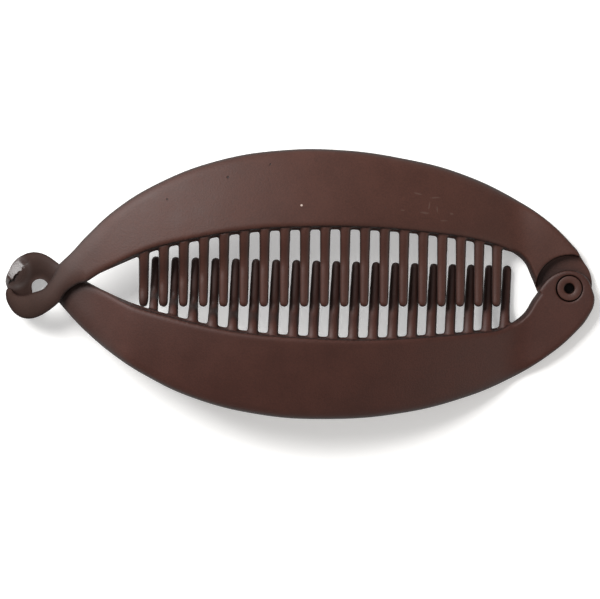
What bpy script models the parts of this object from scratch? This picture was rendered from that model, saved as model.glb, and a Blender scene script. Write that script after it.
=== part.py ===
"""Banana hair clip: two curved comb arms on one hinge pin, with interlocking curled tails.

Metres, +Z up. The clip lies as it would on a table, its domed face up, with the hinge
towards +X and the curled tails towards -X. Every size below is in millimetres.
"""
import math

import bmesh
import bpy
from mathutils import Vector

MM = 0.001
CLIP = "banana_clip"

# The dome that both arms follow, seen from the side: an arc along the clip, lower at the edges.
CROWN_RADIUS = 120.0
CROWN_X = -10.0
CROWN_TOP = 20.0
EDGE_FALL = 0.0060            # the fall per square millimetre away from the middle line
PLATE = 2.3                   # thickness of an arm

# The hinge: each arm ends in a lug of half the thickness, and one pin joins them.
PIN_X, PIN_Y = 61.8, -0.8
LUG = 1.75
LUG_GAP = 0.30
LUG_TOP = 2 * LUG + LUG_GAP
STEP_RADIUS = 7.7             # the arc around the pin where the upper arm steps down
RECESS_RADIUS = 7.98          # the room that the lower arm leaves for the other's lug
SHANK_RADIUS = 1.6
HEAD_RADIUS = 2.75
PIN_CLEARANCE = 0.30
HEAD_SINK = 0.95              # depth of the seat that each head lies in
PIN_BORE = 1.1
PIN_PROUD = 0.12

# The tails: the upper arm's passes in front, the lower arm's lies behind it.
TAIL = 2.6
TAIL_GAP = 0.5
BACK_TAIL = 2.14
SINK_FROM, SINK_TO = -48.6, -38.0
DISH_X, DISH_Y = -62.6, 2.9
DISH_RADIUS = 8.0
DISH_DEPTH = 0.9

# The comb teeth, in two layers so that they pass one above the other as the clip opens.
TEETH = 19
TOOTH_FIRST_UPPER = -12.4     # degrees along the crown's arc
TOOTH_FIRST_LOWER = -11.2
TOOTH_STEP = 2.207
TOOTH_ROOT = 1.05             # half width where a tooth leaves its arm
TOOTH_END = 0.90
TOOTH_FLATNESS = 0.78         # depth of a tooth as a share of its width
LAYER_RADIUS = 144.0
LAYER_X = -8.0
LAYER_TOP = 12.2
LAYER_STEP = 2.15
UPPER_TIP_Y = -5.0
LOWER_TIP_LEFT, LOWER_TIP_RIGHT = 6.6, 4.5
UPPER_LEAN, LOWER_LEAN = 0.014, 0.050
TOOTH_PLACE_Y = -1.3          # where the angles above give each tooth's place

# The rail along each inner edge that carries the teeth, set back from the face.
RAIL = 2.2
RAIL_SINK = 1.1
RAIL_SHOWS = 1.1
RAIL_LEFT, RAIL_RIGHT = -45.7, 48.7

# Outlines seen from above, as x and y in millimetres.
UPPER_OUTER = [
    (-55.1, 4.7), (-52.5, 7.1), (-49.1, 10.9), (-42.3, 17.2), (-32.0, 23.5), (-18.2, 28.6), (-4.5, 30.8),
    (9.3, 30.9), (23.0, 29.1), (36.8, 25.6), (50.5, 19.1),
    (57.9, 13.9), (63.6, 8.1),
]
UPPER_LUG = [(64.9, 5.7), (66.6, 2.8), (66.9, -1.2), (65.2, -4.8), (61.8, -6.1), (58.2, -5.0), (56.0, -3.2)]
UPPER_INNER = [
    (54.5, -1.6), (52.9, 2.3), (51.5, 5.2), (48.7, 7.5), (41.8, 9.4), (29.0, 11.4), (15.7, 12.5),
    (2.2, 12.6), (-11.6, 11.9), (-25.1, 9.7), (-34.4, 7.4), (-42.3, 4.2), (-45.7, 2.7), (-48.8, 0.76),
]
UPPER_TAIL = [
    (-50.5, 0.45), (-52.1, -0.35), (-54.0, -1.95), (-55.2, -3.9), (-58.1, -6.1), (-60.2, -7.2),
    (-62.2, -7.65), (-65.0, -6.7), (-66.7, -4.6), (-67.45, -2.4), (-67.1, -0.8), (-66.2, -0.9),
    (-65.4, -2.1), (-63.2, -2.4), (-61.2, -1.7), (-59.7, -1.3), (-58.6, -0.75), (-57.9, 0.15),
    (-57.0, 1.2), (-56.0, 2.8),
]
LOWER_INNER = [
    (-48.8, 0.76), (-45.7, -0.85), (-38.9, -3.9), (-29.9, -6.7), (-21.0, -8.9), (-11.8, -10.5),
    (1.7, -11.6), (15.2, -12.0), (28.6, -11.4), (40.2, -10.4), (46.0, -9.6), (48.7, -8.6),
    (51.5, -6.3), (53.3, -3.4), (54.5, -1.7),
]
LOWER_LUG = [(55.4, -0.3), (57.0, 1.5), (58.8, 2.7), (61.4, 3.35), (64.0, 2.9), (66.0, 1.4), (67.0, -0.8)]
LOWER_OUTER = [
    (67.6, -3.6), (66.1, -7.4), (63.4, -10.7), (57.0, -16.2), (47.1, -22.0), (36.8, -26.1),
    (23.0, -29.4), (5.8, -30.7), (-9.6, -29.6), (-25.1, -25.6), (-35.4, -20.7), (-42.3, -16.3),
    (-49.2, -10.5), (-55.2, -3.9),
]
LOWER_TAIL = [
    (-56.8, -1.4), (-58.0, 0.2), (-58.8, 0.95), (-59.8, 1.15), (-60.7, 0.8), (-61.2, 0.0), (-61.1, -1.3),
    (-61.6, -3.0), (-63.4, -4.4), (-65.6, -3.9), (-67.1, -0.8), (-67.6, 1.0), (-66.8, 3.3), (-65.7, 5.2),
    (-63.6, 6.8), (-60.8, 7.5), (-58.1, 6.7), (-54.9, 4.5), (-52.1, 2.9),
]
SHARP_UPPER = [(54.5, -1.6), (-48.8, 0.76), (-55.1, 4.7), (-55.2, -3.9), (63.6, 8.1)]
SHARP_LOWER = [(54.5, -1.7), (-48.8, 0.76), (-55.2, -3.9)]

BROWN = (0.071, 0.031, 0.022)
BROWN_BACK = (0.062, 0.027, 0.020)
ROUGHNESS = 0.55


def clear_scene():
    """Starts from an empty scene."""
    for obj in list(bpy.data.objects):
        bpy.data.objects.remove(obj, do_unlink=True)


def collection(name, hidden=False):
    """A collection under the scene, hidden from renders when it holds cutters."""
    group = bpy.data.collections.new(name)
    group.hide_render = hidden
    bpy.context.scene.collection.children.link(group)
    return group


def material(name, colour):
    """A plain Principled plastic."""
    made = bpy.data.materials.new(name)
    made.use_nodes = True
    shader = made.node_tree.nodes["Principled BSDF"]
    shader.inputs["Base Color"].default_value = (*colour, 1.0)
    shader.inputs["Roughness"].default_value = ROUGHNESS
    shader.inputs["Metallic"].default_value = 0.0
    made.diffuse_color = (*colour, 1.0)
    return made


def smooth(low, high, value):
    """Eases from 0 at low to 1 at high."""
    share = min(max((value - low) / (high - low), 0.0), 1.0)
    return share * share * (3.0 - 2.0 * share)


def crown(x):
    """Height of the face over the middle line, running out flat over the hinge."""
    arc = CROWN_TOP - CROWN_RADIUS + math.sqrt(CROWN_RADIUS ** 2 - (x - CROWN_X) ** 2)
    ease = math.hypot(arc - LUG_TOP, 1.5)
    if x < CROWN_X:
        return arc
    blended = 0.5 * (arc + LUG_TOP + ease)
    return arc + (blended - arc) * smooth(25.0, 48.0, x)


def face(x, y):
    """Height of the upper arm's face."""
    fall = EDGE_FALL * y * y * (1.0 - 0.7 * smooth(46.0, 58.0, x))
    return crown(x) - fall


def upper_back(x, y):
    """Height of the upper arm's underside, which reaches the table at the hinge."""
    thick = PLATE + (TAIL - PLATE) * (1.0 - smooth(-52.0, -44.0, x))
    return (face(x, y) - thick) * (1.0 - smooth(46.5, 54.0, x))


def lower_face(x, y):
    """Height of the lower arm's face, which dips to pass behind the other tail."""
    return face(x, y) - (TAIL + TAIL_GAP) * (1.0 - smooth(SINK_FROM, SINK_TO, x))


def lower_back(x, y):
    """Height of the lower arm's underside."""
    thick = PLATE + (BACK_TAIL - PLATE) * (1.0 - smooth(-52.0, -44.0, x))
    return (lower_face(x, y) - thick) * (1.0 - smooth(46.5, 54.0, x))


def layer(x, y):
    """Height of the lower teeth, by the distance from the pin, so that turning never changes it."""
    along = PIN_X - math.hypot(x - PIN_X, y - PIN_Y)
    return LAYER_TOP - LAYER_RADIUS + math.sqrt(LAYER_RADIUS ** 2 - (along - LAYER_X) ** 2)


def inner_y(points, x):
    """Reads an inner edge at x."""
    run = sorted(points)
    for (x0, y0), (x1, y1) in zip(run, run[1:]):
        if x0 <= x <= x1:
            return y0 + (y1 - y0) * (x - x0) / (x1 - x0)
    return run[0][1]


def to_mesh(obj, name):
    """Turns a curve object into a welded mesh object."""
    bpy.context.view_layer.update()
    mesh = bpy.data.meshes.new_from_object(obj.evaluated_get(bpy.context.evaluated_depsgraph_get()))
    mesh.transform(obj.matrix_world)
    mesh.materials.clear()
    bpy.data.objects.remove(obj, do_unlink=True)
    welded = bmesh.new()
    welded.from_mesh(mesh)
    bmesh.ops.remove_doubles(welded, verts=welded.verts, dist=1e-6)
    bmesh.ops.recalc_face_normals(welded, faces=welded.faces)
    welded.to_mesh(mesh)
    welded.free()
    return bpy.data.objects.new(name, mesh)


def prism(name, points, sharp, group, bottom=-4.0, top=30.0, finish=3):
    """A closed outline, rounded between its points, as a tall block to cut a plate with."""
    curve = bpy.data.curves.new(name, "CURVE")
    curve.dimensions = "2D"
    curve.fill_mode = "BOTH"
    curve.extrude = 0.5 * (top - bottom) * MM
    curve.resolution_u = finish
    spline = curve.splines.new("BEZIER")
    spline.bezier_points.add(len(points) - 1)
    spline.use_cyclic_u = True
    for knot, (x, y) in zip(spline.bezier_points, points):
        knot.co = (x * MM, y * MM, 0.0)
        kind = "VECTOR" if (x, y) in sharp else "AUTO"
        knot.handle_left_type = kind
        knot.handle_right_type = kind
    obj = bpy.data.objects.new(name, curve)
    obj.location.z = 0.5 * (top + bottom) * MM
    group.objects.link(obj)
    block = to_mesh(obj, name)
    group.objects.link(block)
    return block


def slab(name, top, bottom, group, span, across, cells):
    """A curved plate between two heights, given as functions of x and y."""
    sheet = bmesh.new()
    bmesh.ops.create_grid(sheet, x_segments=cells[0], y_segments=cells[1], size=1.0)
    made = bmesh.ops.extrude_face_region(sheet, geom=sheet.faces[:])
    lower = {item for item in made["geom"] if isinstance(item, bmesh.types.BMVert)}
    for vert in sheet.verts:
        x = span[0] + 0.5 * (vert.co.x + 1.0) * (span[1] - span[0])
        y = across[0] + 0.5 * (vert.co.y + 1.0) * (across[1] - across[0])
        height = bottom if vert in lower else top
        vert.co = Vector((x, y, height(x, y))) * MM
    bmesh.ops.recalc_face_normals(sheet, faces=sheet.faces)
    mesh = bpy.data.meshes.new(name)
    sheet.to_mesh(mesh)
    sheet.free()
    obj = bpy.data.objects.new(name, mesh)
    group.objects.link(obj)
    return obj


def cylinder(name, x, y, bottom, top, radius, group, sides=48):
    """A round cutter standing on x and y."""
    body = bmesh.new()
    bmesh.ops.create_cone(
        body, cap_ends=True, segments=sides, radius1=radius * MM, radius2=radius * MM, depth=(top - bottom) * MM
    )
    mesh = bpy.data.meshes.new(name)
    body.to_mesh(mesh)
    body.free()
    obj = bpy.data.objects.new(name, mesh)
    obj.location = Vector((x, y, 0.5 * (top + bottom))) * MM
    group.objects.link(obj)
    return obj


def combine(target, other, operation):
    """Applies one Boolean and hides the other object with the cutters."""
    other.display_type = "WIRE"
    other.hide_render = True
    step = target.modifiers.new(operation.lower(), "BOOLEAN")
    step.operation = operation
    step.solver = "EXACT"
    step.object = other
    bpy.context.view_layer.update()
    mesh = bpy.data.meshes.new_from_object(target.evaluated_get(bpy.context.evaluated_depsgraph_get()))
    mesh.transform(target.matrix_world)
    target.matrix_world.identity()
    target.location = (0.0, 0.0, 0.0)
    target.modifiers.remove(step)
    old = target.data
    target.data = mesh
    bpy.data.meshes.remove(old)


def tooth(name, path, group):
    """One tooth as a tapering tube along its path, flattened in depth."""
    curve = bpy.data.curves.new(name, "CURVE")
    curve.dimensions = "3D"
    curve.bevel_depth = TOOTH_ROOT * MM
    curve.bevel_resolution = 2
    curve.use_fill_caps = True
    curve.resolution_u = 2
    spline = curve.splines.new("BEZIER")
    spline.bezier_points.add(len(path) - 1)
    for knot, (x, y, z, width) in zip(spline.bezier_points, path):
        knot.co = (x * MM, y * MM, z * MM / TOOTH_FLATNESS)
        knot.radius = width / TOOTH_ROOT
        knot.handle_left_type = "AUTO"
        knot.handle_right_type = "AUTO"
    obj = bpy.data.objects.new(name, curve)
    obj.scale.z = TOOTH_FLATNESS
    group.objects.link(obj)
    made = to_mesh(obj, name)
    group.objects.link(made)
    return made


def tooth_path(x, lean, y_root, y_tip, lift):
    """The points of one tooth from inside its rail to its rounded tip."""
    inward = 1.0 if y_tip > y_root else -1.0
    base = face(x, y_root) - RAIL_SINK - 0.5 * RAIL
    low_y = y_root + inward * 4.2
    if inward > 0.0:
        low_y = max(min(low_y + 2.0, -5.4), y_root + 3.0)
    path = []
    marks = [
        (y_root - inward * 1.4, TOOTH_ROOT, "root"), (y_root + inward * 0.5, TOOTH_ROOT, "root"),
        (low_y, TOOTH_ROOT, "layer"), (y_tip - inward * 0.9, TOOTH_END, "layer"),
        (y_tip, 0.45 * TOOTH_END, "layer"),
    ]
    for y, width, where in marks:
        across = x + lean * (y - TOOTH_PLACE_Y)
        low = layer(across, y) + lift
        z = base if where == "root" else low
        path.append((across, y, z, width))
    path[1] = (*path[1][:2], path[1][2] - 0.12 * (base - path[2][2]), path[1][3])
    return path


def comb(name, inner, first, lean, tips, lift, group):
    """All teeth of one arm as one mesh, from the left tip's y to the right tip's."""
    whole = bmesh.new()
    for index in range(TEETH):
        share = index / (TEETH - 1)
        angle = math.radians(first + TOOTH_STEP * index)
        x = CROWN_X + CROWN_RADIUS * math.sin(angle)
        y_root = inner_y(inner, x)
        y_tip = tips[0] + (tips[1] - tips[0]) * share
        one = tooth(f"{name}_{index}", tooth_path(x, lean, y_root, y_tip, lift), group)
        whole.from_mesh(one.data)
        bpy.data.objects.remove(one, do_unlink=True)
    mesh = bpy.data.meshes.new(name)
    whole.to_mesh(mesh)
    whole.free()
    obj = bpy.data.objects.new(name, mesh)
    group.objects.link(obj)
    return obj


def rail_outline(inner, inward):
    """The strip under an inner edge, from just under the plate to the full edge."""
    edge = [(x, y) for x, y in sorted(inner) if RAIL_LEFT <= x <= RAIL_RIGHT]
    back = [(x, y - inward * 3.2) for x, y in reversed(edge)]
    return edge + back, [edge[0], edge[-1], back[0], back[-1]]


def rail_share(x):
    """How far the rail has grown out of the plate at x, from 0 at its ends to 1."""
    return smooth(RAIL_LEFT, RAIL_LEFT + 7.0, x) * (1.0 - smooth(RAIL_RIGHT - 2.7, RAIL_RIGHT, x))


def set_back(inner, inward):
    """The plate's own inner edge, which stands back from the rail's."""
    return [(x, y - inward * RAIL_SHOWS * rail_share(x)) for x, y in inner]


def make_arm(name, outline, sharp, inner, inward, top, bottom, teeth, cutters):
    """One arm: its plate, the rail along the inner edge and the comb."""
    arm = slab(name, top, bottom, cutters, (-70.0, 70.0), (-34.0, 34.0), (35, 20))
    combine(arm, prism(f"{name}_outline", outline, sharp, cutters), "INTERSECT")
    strip, corners = rail_outline(inner, inward)

    def rail_top(x, y):
        return top(x, y) - 0.3 - (RAIL_SINK - 0.3) * rail_share(x)

    def rail_bottom(x, y):
        inside = PLATE - 0.3
        return top(x, y) - inside - (RAIL_SINK + RAIL - inside) * rail_share(x)

    rail = slab(f"{name}_rail", rail_top, rail_bottom, cutters, (-70.0, 70.0), (-34.0, 34.0), (56, 20))
    combine(rail, prism(f"{name}_strip", strip, corners, cutters), "INTERSECT")
    combine(arm, rail, "UNION")
    combine(arm, teeth, "UNION")
    return arm


def make_upper_arm(cutters):
    """The arm whose lug lies behind and whose tail passes in front."""
    inner = set_back(UPPER_INNER, -1.0)
    outline = UPPER_OUTER + UPPER_LUG + inner + UPPER_TAIL
    tips = (UPPER_TIP_Y, UPPER_TIP_Y)
    teeth = comb("upper_comb", UPPER_INNER, TOOTH_FIRST_UPPER, UPPER_LEAN, tips, LAYER_STEP, cutters)
    arm = make_arm("upper_arm", outline, SHARP_UPPER, UPPER_INNER, -1.0, face, upper_back, teeth, cutters)
    combine(arm, cylinder("upper_step", PIN_X, PIN_Y, LUG, 14.0, STEP_RADIUS, cutters, 64), "DIFFERENCE")
    hole = SHANK_RADIUS + PIN_CLEARANCE
    combine(arm, cylinder("upper_bore", PIN_X, PIN_Y, -2.0, 6.0, hole, cutters), "DIFFERENCE")
    seat = HEAD_RADIUS + PIN_CLEARANCE
    combine(arm, cylinder("upper_seat", PIN_X, PIN_Y, -2.0, HEAD_SINK, seat, cutters), "DIFFERENCE")
    return arm


def make_lower_arm(cutters):
    """The arm whose lug lies in front and whose dished tail passes behind."""
    inner = set_back(LOWER_INNER, 1.0)
    outline = inner + LOWER_LUG + LOWER_OUTER + LOWER_TAIL
    tips = (LOWER_TIP_LEFT, LOWER_TIP_RIGHT)
    teeth = comb("lower_comb", LOWER_INNER, TOOTH_FIRST_LOWER, LOWER_LEAN, tips, 0.0, cutters)
    arm = make_arm("lower_arm", outline, SHARP_LOWER, LOWER_INNER, 1.0, lower_face, lower_back, teeth, cutters)
    under = LUG + LUG_GAP
    combine(arm, cylinder("lower_step", PIN_X, PIN_Y, -2.0, under, RECESS_RADIUS, cutters, 64), "DIFFERENCE")
    hole = SHANK_RADIUS + PIN_CLEARANCE
    combine(arm, cylinder("lower_bore", PIN_X, PIN_Y, -2.0, 6.0, hole, cutters), "DIFFERENCE")
    seat = HEAD_RADIUS + PIN_CLEARANCE
    combine(arm, cylinder("lower_seat", PIN_X, PIN_Y, LUG_TOP - HEAD_SINK, 8.0, seat, cutters), "DIFFERENCE")
    combine(arm, dish_cutter(cutters), "DIFFERENCE")
    return arm


def dish_cutter(group):
    """A ball that hollows the curl of the lower tail."""
    ball = bmesh.new()
    bmesh.ops.create_uvsphere(ball, u_segments=28, v_segments=18, radius=DISH_RADIUS * MM)
    mesh = bpy.data.meshes.new("dish")
    ball.to_mesh(mesh)
    ball.free()
    obj = bpy.data.objects.new("dish", mesh)
    low = lower_face(DISH_X, DISH_Y) - DISH_DEPTH
    obj.location = Vector((DISH_X, DISH_Y, low + DISH_RADIUS)) * MM
    group.objects.link(obj)
    return obj


def make_pin(group):
    """A hollow rivet, turned from its profile, its two heads seated in the lugs."""
    head_top = LUG_TOP + PIN_PROUD
    head_low = LUG_TOP - HEAD_SINK + PIN_CLEARANCE
    foot_top = HEAD_SINK - PIN_CLEARANCE
    foot_low = 0.05
    profile = [
        (0.0, 1.3), (PIN_BORE, 1.3), (PIN_BORE, head_top), (HEAD_RADIUS - 0.25, head_top),
        (HEAD_RADIUS, head_top - 0.25), (HEAD_RADIUS, head_low), (SHANK_RADIUS, head_low),
        (SHANK_RADIUS, foot_top), (HEAD_RADIUS, foot_top), (HEAD_RADIUS, foot_low), (0.0, foot_low),
    ]
    half = bmesh.new()
    verts = [half.verts.new((radius * MM, 0.0, z * MM)) for radius, z in profile]
    for start, end in zip(verts, verts[1:]):
        half.edges.new((start, end))
    mesh = bpy.data.meshes.new("hinge_pin")
    half.to_mesh(mesh)
    half.free()
    pin = bpy.data.objects.new("hinge_pin", mesh)
    pin.location = Vector((PIN_X, PIN_Y, 0.0)) * MM
    turn = pin.modifiers.new("turn", "SCREW")
    turn.steps = 32
    turn.render_steps = 32
    turn.use_merge_vertices = True
    turn.merge_threshold = 1e-6
    turn.use_smooth_shade = False
    group.objects.link(pin)
    return pin


def build():
    """Models the clip and gathers its pieces under the clip's own collection."""
    clear_scene()
    clip = collection(CLIP)
    cutters = collection("cutters", hidden=True)
    upper = make_upper_arm(cutters)
    lower = make_lower_arm(cutters)
    pin = make_pin(clip)
    for arm in (upper, lower):
        cutters.objects.unlink(arm)
        clip.objects.link(arm)
    upper.data.materials.clear()
    upper.data.materials.append(material("upper_arm_plastic", BROWN))
    lower.data.materials.clear()
    lower.data.materials.append(material("lower_arm_plastic", BROWN_BACK))
    pin.data.materials.append(material("hinge_pin_plastic", BROWN_BACK))
    hinge = bpy.data.objects.new("hinge_axis", None)
    hinge.location = Vector((PIN_X, PIN_Y, 0.0)) * MM
    clip.objects.link(hinge)
    bpy.context.view_layer.update()
    upper.parent = hinge
    upper.matrix_parent_inverse = hinge.matrix_world.inverted()


build()
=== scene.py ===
"""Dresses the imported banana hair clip: two moulded comb arms, their hollow hinge pin and a studio stage.

Lengths are millimetres in the constants, and metres in the settings and in Blender. The clip lies
domed face up, hinge towards +X, and the photograph looks straight down on it with +Y up the frame.
"""
import math

import bmesh
import bpy
import numpy as np
from bpy.props import FloatProperty, IntProperty, PointerProperty, StringProperty
from bpy.types import Operator, Panel, PropertyGroup
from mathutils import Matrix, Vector, noise
from mathutils.bvhtree import BVHTree


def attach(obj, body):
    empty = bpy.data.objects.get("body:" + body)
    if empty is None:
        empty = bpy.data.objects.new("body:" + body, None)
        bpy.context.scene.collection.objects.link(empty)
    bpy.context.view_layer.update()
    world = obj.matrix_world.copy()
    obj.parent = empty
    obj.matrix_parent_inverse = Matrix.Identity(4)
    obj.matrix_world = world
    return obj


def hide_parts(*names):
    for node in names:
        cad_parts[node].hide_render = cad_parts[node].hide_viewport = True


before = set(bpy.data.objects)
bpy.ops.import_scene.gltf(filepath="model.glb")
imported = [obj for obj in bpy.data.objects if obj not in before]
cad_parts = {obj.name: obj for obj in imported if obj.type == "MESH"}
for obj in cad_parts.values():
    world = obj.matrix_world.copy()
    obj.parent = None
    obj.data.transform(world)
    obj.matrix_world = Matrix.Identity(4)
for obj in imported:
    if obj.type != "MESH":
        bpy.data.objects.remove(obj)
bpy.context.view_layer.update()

bl_info = {
    "name": "Banana Hair Clip",
    "version": (1, 0, 0),
    "blender": (4, 5, 0),
    "location": "View3D > Sidebar > Clip",
    "description": "Finished arms, comb teeth and hinge pin of a banana hair clip, with a studio stage",
    "category": "Add Mesh",
}

MM = 0.001

# The dome that both arms follow, as in the solids.
CROWN_RADIUS = 120.0
CROWN_X = -10.0
CROWN_TOP = 20.0
EDGE_FALL = 0.0060
PLATE = 2.3

# Where along x one form changes into the next, from the first value to the second.
CROWN_FLATTENS = (25.0, 48.0)
SIDES_FLATTEN = (46.0, 58.0)
BACK_CLOSES = (46.5, 54.0)
TAIL_SINKS = (-48.6, -38.0)
TAIL_THICKENS = (-52.0, -44.0)
CURL_ROLLS = (-50.0, -40.0)
CURL_ROUNDS = (-54.0, -47.0)
SCOOP_ENDS = (-55.5, -53.0)
LUG_BEGINS = (50.0, 56.0)
SLOPE_BEGINS = (46.5, 50.5)
TEETH_START_DEEP = (-32.0, -20.0)
TEETH_START_SLIM = (-33.0, -26.0)

# The hinge and its two half-thickness lugs.
PIN_X, PIN_Y = 61.8, -0.8
LUG = 1.75
LUG_GAP = 0.30
LUG_TOP = 2 * LUG + LUG_GAP
STEP_RADIUS = 7.7
RECESS_RADIUS = 7.98
SHANK_HOLE = 1.9
SEAT_RADIUS = 3.05
SEAT_SINK = 0.95

# How low and how high the cutters about the pin's axis reach.
CUT_LOW = -2.0
BORE_CUT_TOP = 6.0
SEAT_CUT_TOP = 8.0
STEP_CUT_TOP = 14.0

# The tails, the upper arm's in front of the lower arm's.
TAIL = 2.6
TAIL_GAP = 0.5
BACK_TAIL = 2.14
CURL_X, CURL_Y = -59.7, -0.2   # the middle of the hole that the curls close around
CURL_FROM = -55.0              # the curls lie to the left of this

# The hollow round the hole, from its deepest radius to its rim, and from where it fades out under the
# face to where it is full.
SCOOP_DEEP, SCOOP_RIM = 1.8, 7.3
SCOOP_SKIN = (-1.6, -0.4)

# The jagged lip on the rear curl's rim, from its upper end along its length.
LIP_X, LIP_Y = -62.9, 4.7
LIP_ALONG = (-0.688, -0.725)
LIP_LENGTH = 5.6
FACET_X, FACET_Y = -65.7, 3.1   # the middle of the facet that wear has polished, outside the lip
FACET_TILT_X, FACET_TILT_Y = 0.31, -0.29
FACET_CURVE = 0.036

# Small marks on the upper arm's face: x, y, half length, half width in millimetres, turn in degrees.
PITS = [(-16.5, 24.6, 0.34, 0.26, 20.0), (-30.4, 19.6, 0.24, 0.20, 0.0), (-6.8, 27.6, 0.30, 0.20, 70.0)]
FLECKS = [(0.35, 18.2, 0.26, 0.24, 0.0)]
SCUFFS = [
    (28.6, 16.5, 0.95, 0.24, -8.0), (29.6, 18.2, 0.95, 0.16, 80.0), (31.0, 20.0, 1.10, 0.18, 3.0),
    (31.4, 17.3, 0.70, 0.15, 95.0), (34.7, 16.3, 0.42, 0.26, -10.0), (32.9, 14.7, 0.80, 0.14, 0.0),
    (23.5, 17.1, 0.50, 0.14, -5.0), (27.0, 20.9, 0.90, 0.20, -15.0),
]

# The comb teeth. The lower teeth follow an arc about LAYER_X, and the upper teeth lie a step above it.
TEETH = 19
TOOTH_FIRST_UPPER = -12.4     # degrees along the crown's arc
TOOTH_FIRST_LOWER = -11.2
TOOTH_STEP = 2.207
TOOTH_FLATNESS = 0.78         # a tooth's depth over its width
LAYER_RADIUS = 144.0
LAYER_X = -8.0
LAYER_TOP = 12.2
LAYER_STEP = 2.15
TOOTH_PLACE_Y = -1.3          # where a leaning tooth stands at its own x
UPPER_TIPS = (-5.0, -5.0)     # y of the leftmost tip and of the rightmost
LOWER_TIPS = (6.6, 4.5)
UPPER_LEAN, LOWER_LEAN = 0.014, 0.050

# How far a tooth runs from its root before it is in its layer, and how it starts and ends.
UPPER_RUN = 7.0
LOWER_RUN_LEAST, LOWER_RUN_MOST = 4.4, 6.2
LOWER_RUN_END = -5.4          # y where a lower tooth's run ends, if those two allow
LEFT_ROOT_DROP = 1.6          # how much deeper the leftmost lower teeth start
ROOT_INSIDE, ROOT_OUTSIDE = 1.4, 0.4
ROOT_SWELL = 1.10             # how much wider a tooth is inside its rail
STRAIGHT = 3.0                # a tooth's first straight length in its layer
TIP_LENGTH = 0.95

# The rail that carries the teeth under each inner edge. Its top and the middle of a tooth's root lie
# this far below the face.
RAIL = 1.3
RAIL_SINK = 2.0
ROOT_SINK = 1.85
RAIL_LEFT, RAIL_RIGHT = -45.7, 48.7
RAIL_REACH = 3.2              # how far it runs in under the plate
RAIL_HIDDEN = 0.3             # how deep it stays inside the plate at its ends

# How wide and how deep the face slopes down to the last gap, beside the hinge.
SLOPE_WIDTH = 1.05
SLOPE_DROP = 1.75

# The inner edges' ends, and the height of the blocks that cut the outlines.
INNER_LEFT, INNER_RIGHT = -48.8, 54.6
BLOCK_LOW, BLOCK_TOP = -4.0, 30.0

# Where the softer rounding of the outer edges sets in, as shares of the outline's half width, and how
# far from the hole's middle the tail's outer side begins.
EDGE_BAND = (0.66, 0.76)
TAIL_OUTSIDE = (3.0, 4.0)

# The faces are faintly uneven, by this much over this span.
RIPPLE = 0.05
RIPPLE_SPAN = 7.0

# What the coat's patterns measure: a mottled patch, a grain and the cell that may hold one pit.
MOTTLE_SPAN = 9.09
GRAIN_SPAN = 0.4167
PIT_SPAN = 6.06

# The hinge pin's radii, the height and radius past which its points belong to its head, and how far
# the head sits off centre.
SHANK_RADIUS, HEAD_RADIUS, BORE_RADIUS = 1.6, 2.85, 1.15
HEAD_ABOVE, HEAD_OUTSIDE = 3.0, 2.0
HEAD_SHIFT = (0.05, 0.03, 0.0)

# The photograph's width in pixels, the millimetres in a pixel, and the camera's sensor.
PHOTO_WIDTH = 600
PIXEL = 0.2292
CLIP_ABOVE = 14.5             # pixels from the photograph's middle up to the clip's
FACE_LEVEL = 7.0              # millimetres up, where the photograph's width is taken
SENSOR = 36.0

# Outlines seen from above, as x and y in millimetres.
UPPER_OUTER = [
    (-55.1, 4.7), (-52.5, 7.1), (-49.1, 10.9), (-42.3, 17.2), (-32.0, 23.5), (-18.2, 28.6), (-4.5, 30.8),
    (9.3, 30.9), (23.0, 29.1), (36.8, 25.6), (50.5, 19.1), (57.9, 13.9), (63.6, 8.1),
]
UPPER_LUG = [(64.9, 5.7), (66.6, 2.8), (66.9, -1.2), (65.2, -4.8), (61.8, -6.1), (58.2, -5.0), (56.0, -3.2)]
UPPER_INNER = [
    (54.5, -1.6), (52.9, 2.3), (51.5, 5.2), (48.7, 7.5), (41.8, 9.4), (29.0, 11.4), (15.7, 12.5),
    (2.2, 12.6), (-11.6, 11.9), (-25.1, 9.7), (-34.4, 7.4), (-42.3, 4.2), (-45.7, 2.7), (-48.8, 0.76),
]
UPPER_TAIL = [
    (-50.5, 0.45), (-52.1, -0.35), (-54.0, -1.95), (-55.2, -3.9), (-58.1, -6.1), (-60.2, -7.2),
    (-62.2, -7.65), (-65.0, -6.7), (-66.7, -4.6), (-67.45, -2.4), (-67.1, -0.8), (-66.2, -0.9),
    (-65.4, -2.1), (-63.2, -2.4), (-61.2, -1.7), (-59.7, -1.3), (-58.6, -0.75), (-57.9, 0.15),
    (-57.0, 1.2), (-56.0, 2.8),
]
LOWER_INNER = [
    (-48.8, 0.76), (-45.7, -0.85), (-38.9, -3.9), (-29.9, -6.7), (-21.0, -8.9), (-11.8, -10.5),
    (1.7, -11.6), (15.2, -12.0), (28.6, -11.4), (40.2, -10.4), (46.0, -9.6), (48.7, -8.6),
    (51.5, -6.3), (53.3, -3.4), (54.5, -1.7),
]
LOWER_LUG = [(55.4, -0.3), (57.0, 1.5), (58.8, 2.7), (61.4, 3.35), (64.0, 2.9), (66.0, 1.4), (67.0, -0.8)]
LOWER_OUTER = [
    (67.6, -3.6), (66.1, -7.4), (63.4, -10.7), (57.0, -16.2), (47.1, -22.0), (36.8, -26.1),
    (23.0, -29.4), (5.8, -30.7), (-9.6, -29.6), (-25.1, -25.6), (-35.4, -20.7), (-42.3, -16.3),
    (-49.2, -10.5), (-55.2, -3.9),
]
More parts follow.
